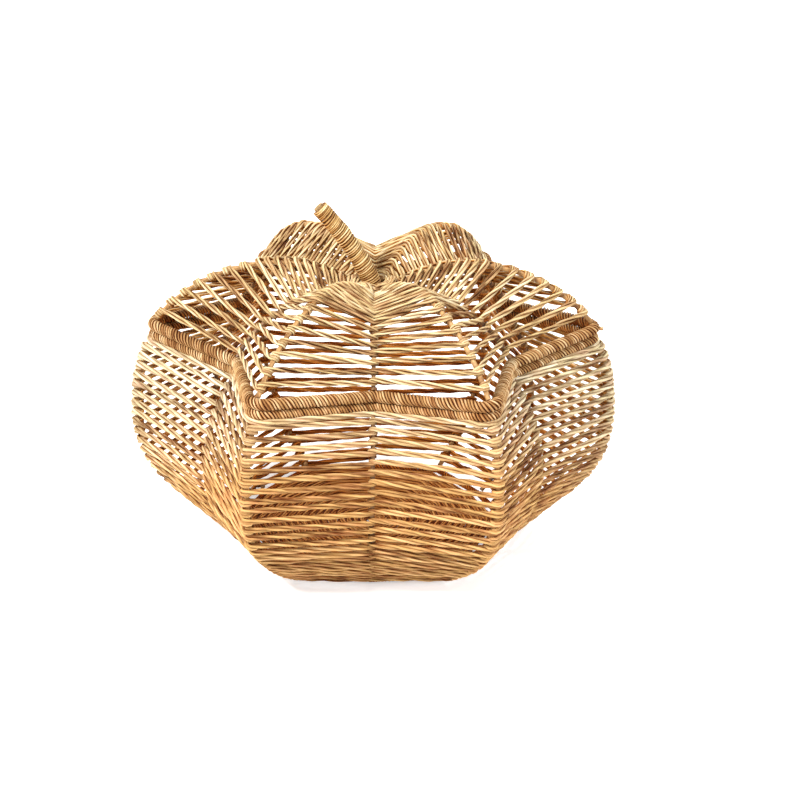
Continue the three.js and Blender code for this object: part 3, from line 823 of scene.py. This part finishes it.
bindings = {
    "lidRimBinding": {"node": "lid_rim", "body": "lid", "height": lidSeatHeight, "rod": lidRimRadius,
                      "strands": 5, "advance": 14 * mm, "depth": 2.3 * mm, "width": 2.4 * mm},
    "basketRimBinding": {"node": "basket_rim", "body": "basket", "height": basketRimHeight,
                         "rod": basketRimRadius, "strands": 5, "advance": 12.5 * mm,
                         "depth": 2.2 * mm, "width": 2.25 * mm},
}
bindingSwell = 0.3 * mm  # lets the two soft bindings meet, with the lid on
bindingGap = 5 * mm  # between the spots of a binding's route
coreDepth = 0.55  # how far the rod lies under a binding's surface, in depths of a strand
# the rod is painted dark, as shade in the gaps between the binding's strands
coreShadeTone = -0.6
looseStrand = {"out": 2 * mm, "way": (1, -0.5, -0.1), "spots": 5, "step": 1.4 * mm, "twistStep": 0.5,
               "reach": 0.8 * mm, "fullness": 0.7, "tone": 0.2}


# The end of the lid's binding, left standing out at the right-hand corner
def looseEnd(end):
    start = Vector((basketRibs[0]["rim"] + end["out"], 0, lidSeatHeight))
    way = Vector(end["way"]).normalized()
    return [
        spot(start + way * (i * end["step"]), upwards, end["twistStep"] * i, end["reach"], end["fullness"],
             end["tone"])
        for i in range(end["spots"])
    ]


# The plain rod inside a binding, joined to it, painted dark as the shade between the strands
def addCore(piece, corners, radius, straw):
    route = [spot(corner, upwards, tone=coreShadeTone) for corner in corners]
    size = {"Strands": 1, "Sides": 8, "Step": 5 * mm, "Depth": 2 * radius, "Width": 2 * radius,
            "Wander": 0.0, "Unevenness": 0.0, "Seed": 0.0}
    core = windAlong(piece.name + "Core", [(route, 0.0)], size, straw)
    bpy.ops.object.select_all(action="DESELECT")
    core.select_set(True)
    piece.select_set(True)
    bpy.context.view_layer.objects.active = piece
    bpy.ops.object.join()


for number, (name, binding) in enumerate(bindings.items()):
    route = boundRoute(
        rimCorners(binding["height"], rimDip), upwards, binding["advance"],
        binding["rod"] + bindingSwell - binding["depth"] / 2, bindingGap, seed=41 + number,
    )
    routes = [route]
    if binding["body"] == "lid":
        routes.append((looseEnd(looseStrand), None))
    size = {"Strands": binding["strands"], "Sides": 6, "Step": 1.1 * mm, "Depth": binding["depth"],
            "Width": binding["width"], "Wander": 0.9 * mm, "Unevenness": 0.8, "Seed": 8.0 + number}
    piece = windAlong(name, routes, size, straws["bindingStraw"])
    coreRadius = binding["rod"] + bindingSwell - coreDepth * binding["depth"]
    addCore(piece, rimCorners(binding["height"], rimDip), coreRadius, straws["bindingStraw"])
    pieces.append((piece, binding["body"], [binding["node"]], "rim_binding"))


# The base hoop's line, also from the middle of a straight stretch
def hoopCorners(height):
    corners = [
        turnedAboutUp(basketRibs[k % 2]["foot"], 0, height, k * ribStep) for k in range(ribCount)
    ]
    return [corners[-1].lerp(corners[0], 0.5)] + corners


baseBinding = {"strands": 4, "advance": 11 * mm, "depth": 1.4 * mm, "width": 2.1 * mm, "gap": 6 * mm,
               "clearance": 0.15 * mm}  # to the ground
hoopHeight = hoopRadius * math.cos(math.pi / rodSides)
route = boundRoute(
    hoopCorners(hoopHeight), upwards, baseBinding["advance"],
    hoopHeight - baseBinding["depth"] / 2 - baseBinding["clearance"], baseBinding["gap"], seed=51,
)
size = {"Strands": baseBinding["strands"], "Sides": 6, "Step": 1.1 * mm, "Depth": baseBinding["depth"],
        "Width": baseBinding["width"], "Wander": 0.1 * mm, "Unevenness": 0.2, "Seed": 10.0}
piece = windAlong("baseBinding", [route], size, straws["bindingStraw"])
pieces.append((piece, "basket", ["base_ring"], "rim_binding"))

# The woven floor: two layers of cord wound inwards, the lower one showing between the upper one's turns and
# painted darker, as the shade under them

floorWeave = {"edge": 100.5 * mm, "hub": 5 * mm, "pitch": 5.3 * mm, "weave": 0.2 * mm,
              "spanShares": (0.33, 0.67), "halfLaySpread": 0.4, "toneSpread": 0.15,
              "upper": {"height": 3.1 * mm, "shift": 0.0, "tone": 0.0, "reach": 1 * mm, "fullness": 1.0},
              # the lower layer's low tone paints the shade it lies in under the upper one
              "lower": {"height": 1.95 * mm, "shift": 0.5, "tone": -0.6, "reach": 0.7 * mm, "fullness": 1.2}}


def floorRoute(floor, layer, seed):
    draw = random.Random(seed)
    turns = int((floor["edge"] - floor["hub"]) / floor["pitch"])
    ridgeShare = (basketRibs[0]["foot"] - hoopRadius) / (basketRibs[1]["foot"] - hoopRadius)
    spots = []
    twist = 0.0
    for i in range(turns * ribCount + 1):
        k = (backRib + i) % ribCount
        radius = floor["edge"] - floor["pitch"] * (i / ribCount + layer["shift"])
        if k % 2 == 0:
            radius *= 1 + (ridgeShare - 1) * radius / floor["edge"]
        over = floor["weave"] if (i + i // ribCount) % 2 else -floor["weave"]
        at = turnedAboutUp(radius, 0, layer["height"] + over, k * ribStep)
        outwards = turnedAboutUp(1, 0, 0, k * ribStep)
        if spots:
            start = spots[-1]
            span = at - start["at"]
            stray = draw.uniform(-floor["halfLaySpread"], floor["halfLaySpread"])
            halfTwists = round(span.length / cordLay["halfLay"] + stray)
            tone = layer["tone"] + draw.uniform(-floor["toneSpread"], floor["toneSpread"])
            for share in floor["spanShares"]:
                between = start["at"] + span * share
                turned = twist + halfTwists * math.pi * share
                spots.append(spot(between, start["lean"].lerp(outwards, share), turned, layer["reach"],
                                  layer["fullness"], tone))
            twist += halfTwists * math.pi
        spots.append(spot(at, outwards, twist, layer["reach"], layer["fullness"], layer["tone"]))
    return spots


size = {**cordSize, "Step": 3 * mm, "Depth": 1.7 * mm, "Width": 1.9 * mm, "Wander": 0.3 * mm,
        "Unevenness": 0.25, "Seed": 12.0}
routes = [
    (floorRoute(floorWeave, floorWeave[layer], seed=31 + i), None)
    for i, layer in enumerate(("upper", "lower"))
]
piece = windAlong("floorCord", routes, size, straws["floorStraw"])
pieces.append((piece, "basket", ["floor_weave"], "close_straw"))

# Stem

stem = {"aim": (0, 11 * mm), "knee": (-18 * mm, 46 * mm), "tip": (-46 * mm, 75 * mm),
        "footRadius": 5.2 * mm, "tipRadius": 4.4 * mm, "strand": 2.3 * mm, "turns": 43,
        "from": 0.04, "to": 0.98, "slant": 0.3, "turnSteps": 16, "stations": 200, "clearance": 0.45 * mm,
        "breadthRange": (0.6, 1.4), "leastFullness": 0.6, "breadthFullness": 0.45, "toneRange": (-0.35, 0.25)}
crownPoint = Vector((0, 0, lidSeatHeight + crownHeight))


def onStem(share):
    weights = (3 * share * (1 - share) ** 2, 3 * share ** 2 * (1 - share), share ** 3)
    slopes = (3 * (1 - share) * (1 - 3 * share), 3 * share * (2 - 3 * share), 3 * share ** 2)
    corners = (stem["aim"], stem["knee"], stem["tip"])
    x, z = (sum(weight * corner[i] for weight, corner in zip(weights, corners)) for i in (0, 1))
    dx, dz = (sum(slope * corner[i] for slope, corner in zip(slopes, corners)) for i in (0, 1))
    return crownPoint + Vector((x, 0, z)), Vector((dx, 0, dz)).normalized()


# The stem's cord in one helix, its turns of uneven breadth and a little slanted
def stemRoute(seed):
    draw = random.Random(seed)
    breadths = [draw.uniform(*stem["breadthRange"]) for _ in range(stem["turns"])]
    edges = np.concatenate([[0], np.cumsum(breadths)]) / sum(breadths)
    count = stem["stations"]
    stations = [onStem(i / count)[0] for i in range(count + 1)]
    gone = np.concatenate([[0], np.cumsum([(b - a).length for a, b in zip(stations, stations[1:])])])
    low, high = stem["from"] * gone[-1], stem["to"] * gone[-1]
    spots = []
    for turn in range(stem["turns"]):
        tone = draw.uniform(*stem["toneRange"])
        for step in range(stem["turnSteps"]):
            share = step / stem["turnSteps"]
            angle = 2 * math.pi * share
            done = edges[turn] + (edges[turn + 1] - edges[turn]) * share
            core = stem["footRadius"] + (stem["tipRadius"] - stem["footRadius"]) * done
            reach = core + stem["clearance"] + stem["strand"] / 2
            distance = low + (high - low) * done
            middle, tangent = onStem(float(np.interp(distance, gone, np.linspace(0, 1, count + 1))))
            across = tangent.cross(Vector((0, 1, 0))).normalized()
            outwards = across * math.cos(angle) + Vector((0, math.sin(angle), 0))
            straightened = min(1, 4 * done, 8 * (1 - done))  # no slant at the foot or the tip
            slant = tangent * (-stem["slant"] * reach * math.cos(angle) * straightened)
            at = middle + outwards * reach + slant
            fullness = stem["leastFullness"] + stem["breadthFullness"] * breadths[turn]
            spots.append(spot(at, outwards, 0, 0, fullness, tone))
    return spots


size = {"Strands": 1, "Sides": 8, "Step": 1.5 * mm, "Depth": stem["strand"], "Width": 2.1 * mm,
        "Wander": 1.5 * mm, "Unevenness": 0.9, "Seed": 14.0}
piece = windAlong("stemBinding", [(stemRoute(seed=61), None)], size, straws["stemStraw"])
pieces.append((piece, "lid", ["stem_winding"], "stem_cord"))

collarLow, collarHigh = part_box("stem_collar")
collarMiddle = (collarLow + collarHigh) / 2
collarCordRadius = 1.4 * mm
collarRadius = (collarHigh.x - collarLow.x) / 2 - collarCordRadius
# wider, higher and askew are what each loop gains on the one under it, and wave is how far its radius
# strays, all in mm
footLoops = {"number": 3, "spots": 32, "wider": 0.9, "higher": 1.1, "askew": 0.8, "wave": 0.5, "waves": 3,
             "shift": 1.3, "twists": 4, "reach": 0.8 * mm, "tone": -0.15, "paler": 0.1}


# Loops of the stem's cord lying loose round its foot, each a little wider, higher and more askew
def footLoop(loops, number):
    spots = []
    for i in range(loops["spots"]):
        angle = 2 * math.pi * i / loops["spots"]
        wave = loops["wave"] * math.sin(loops["waves"] * angle + number)
        radius = collarRadius + (loops["wider"] * number + wave) * mm
        tilt = loops["askew"] * number * mm * math.sin(angle + loops["shift"] * number)
        at = collarMiddle + turnedAboutUp(radius, 0, tilt + loops["higher"] * number * mm, angle)
        tone = loops["tone"] + loops["paler"] * number
        spots.append(spot(at, upwards, loops["twists"] * angle, loops["reach"], 1.0, tone))
    return spots, 2 * math.pi * loops["twists"]


size = {**cordSize, "Step": 1.6 * mm, "Depth": 1.7 * mm, "Width": 1.6 * mm, "Seed": 15.0}
routes = [footLoop(footLoops, number) for number in range(footLoops["number"])]
piece = windAlong("stemLoop", routes, size, straws["stemStraw"])
pieces.append((piece, "lid", ["stem_collar"], "stem_cord"))
print("stem ready")

for piece, body, replaced, slot in pieces:
    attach(piece, body)
    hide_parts(*replaced)

for name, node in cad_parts.items():
    finish = caneFinish if name == "stem_core" else ridgeFinish if "ridge_rib" in name else wireFinish
    node.data.materials.clear()
    node.data.materials.append(finish)

# Floor, world and lamps

studio = {
    "worldStrength": 0.62,
    "seenStrength": 1.0,  # of the world as the camera sees it
    "aim": (0, 0, 0.12),
    "floor": {"size": 14, "at": (0, 2, -0.3 * mm), "tone": (0.92, 0.92, 0.92, 1), "lift": 0.5},
    "key": {"at": (-1.7, -1.5, 2.4), "size": 0.8, "power": 140},
    "fill": {"at": (2.8, -1.2, 1.3), "size": 1.8, "power": 60},
    "back": {"at": (0.6, 2.2, 2.0), "size": 1.4, "power": 42},
}


def makeFloor():
    look = studio["floor"]
    bpy.ops.mesh.primitive_plane_add(size=look["size"], location=look["at"])
    floor = bpy.context.object
    floor.name = "studioFloor"
    material, tree = newMaterial("studioFloor")
    tree.nodes.clear()
    diffuse = addNode(tree, "ShaderNodeBsdfDiffuse", {"Color": look["tone"]}).outputs["BSDF"]
    seen = tree.nodes.new("ShaderNodeLightPath").outputs["Is Camera Ray"]
    lift = addNode(
        tree, "ShaderNodeEmission", {"Strength": mathNode(tree, "MULTIPLY", seen, look["lift"])}
    ).outputs["Emission"]
    both = addNode(tree, "ShaderNodeAddShader", {0: diffuse, 1: lift}).outputs["Shader"]
    addNode(tree, "ShaderNodeOutputMaterial", {"Surface": both})
    floor.data.materials.append(material)


def makeWorld():
    world = bpy.data.worlds.new("studio")
    bpy.context.scene.world = world
    world.use_nodes = True
    tree = world.node_tree
    seen = tree.nodes.new("ShaderNodeLightPath").outputs["Is Camera Ray"]
    strengths = {"Factor": seen, "A": studio["worldStrength"], "B": studio["seenStrength"]}
    strength = addNode(tree, "ShaderNodeMix", strengths, data_type="FLOAT").outputs["Result"]
    tree.links.new(strength, tree.nodes["Background"].inputs["Strength"])
    tree.nodes["Background"].inputs["Color"].default_value = (1, 1, 1, 1)


def makeLamp(name):
    lamp = bpy.data.lights.new(name, "AREA")
    lamp.shape = "DISK"
    lamp.size = studio[name]["size"]
    lamp.energy = studio[name]["power"]
    holder = bpy.data.objects.new(name, lamp)
    holder.location = studio[name]["at"]
    holder.rotation_euler = (Vector(studio["aim"]) - holder.location).to_track_quat("-Z", "Y").to_euler()
    bpy.context.scene.collection.objects.link(holder)


makeFloor()
makeWorld()
for name in ("key", "fill", "back"):
    makeLamp(name)
bpy.context.scene.view_settings.view_transform = "Standard"
print("studio ready")
